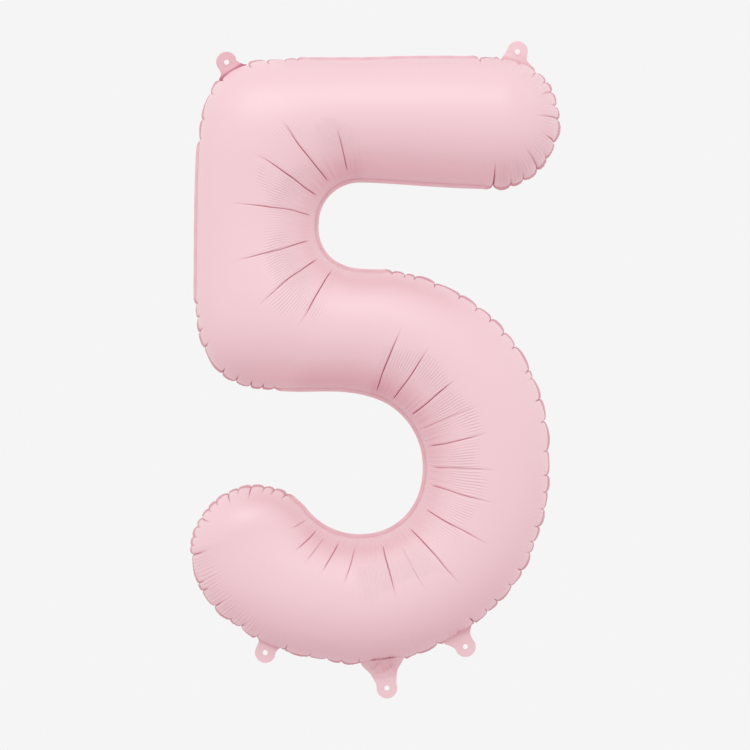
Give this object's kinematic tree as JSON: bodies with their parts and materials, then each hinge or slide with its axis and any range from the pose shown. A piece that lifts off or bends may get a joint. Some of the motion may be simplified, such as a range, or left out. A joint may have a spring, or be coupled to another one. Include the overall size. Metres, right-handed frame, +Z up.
{
  "type": "foil number balloon",
  "caption": "Inflated foil figure-five balloon with a puckered welded rim, five eyelet tabs and a flat filling valve.",
  "frame": {"origin": "centre of the whole balloon's box, in the plane of the welded seam", "axes": "+Z up the figure, +X to the reader's right, the front faces -Y; the seam lies in the XZ plane"},
  "size_m": [0.4852, 0.1554, 0.861],
  "materials": {
    "foil": "satin",
    "valve_film": "satin"
  },
  "bodies": {
    "balloon": {"front_panel": "foil", "back_panel": "foil", "valve_front_film": "valve_film", "valve_back_film": "valve_film"},
    "top_left": {"tab_top_left": "foil"},
    "top_right": {"tab_top_right": "foil"},
    "bottom_left": {"tab_bottom_left": "foil"},
    "bottom_right": {"tab_bottom_right": "foil"},
    "tail": {"tab_tail": "foil"}
  },
  "joints": [
    {"name": "top_left_fold", "type": "hinge", "parent": "balloon", "child": "top_left", "pos_m": [-0.1884, 0, 0.3944], "axis": [0.829, 0, 0.5592], "range_deg": [-80, 80], "stiffness_Nm_per_rad": 0.0005},
    {"name": "top_right_fold", "type": "hinge", "parent": "balloon", "child": "top_right", "pos_m": [0.1848, 0, 0.4077], "axis": [0.9816, 0, -0.1908], "range_deg": [-80, 80], "stiffness_Nm_per_rad": 0.0005},
    {"name": "bottom_left_fold", "type": "hinge", "parent": "balloon", "child": "bottom_left", "pos_m": [-0.14, 0, -0.3619], "axis": [-0.9121, 0, 0.4099], "range_deg": [-80, 80], "stiffness_Nm_per_rad": 0.0005},
    {"name": "bottom_right_fold", "type": "hinge", "parent": "balloon", "child": "bottom_right", "pos_m": [0.1122, 0, -0.3484], "axis": [-0.9135, 0, -0.4067], "range_deg": [-80, 80], "stiffness_Nm_per_rad": 0.0005},
    {"name": "tail_fold", "type": "hinge", "parent": "balloon", "child": "tail", "pos_m": [0.014, 0, -0.4035], "axis": [-0.9925, 0, -0.1219], "range_deg": [-80, 80], "stiffness_Nm_per_rad": 0.0005}
  ]
}
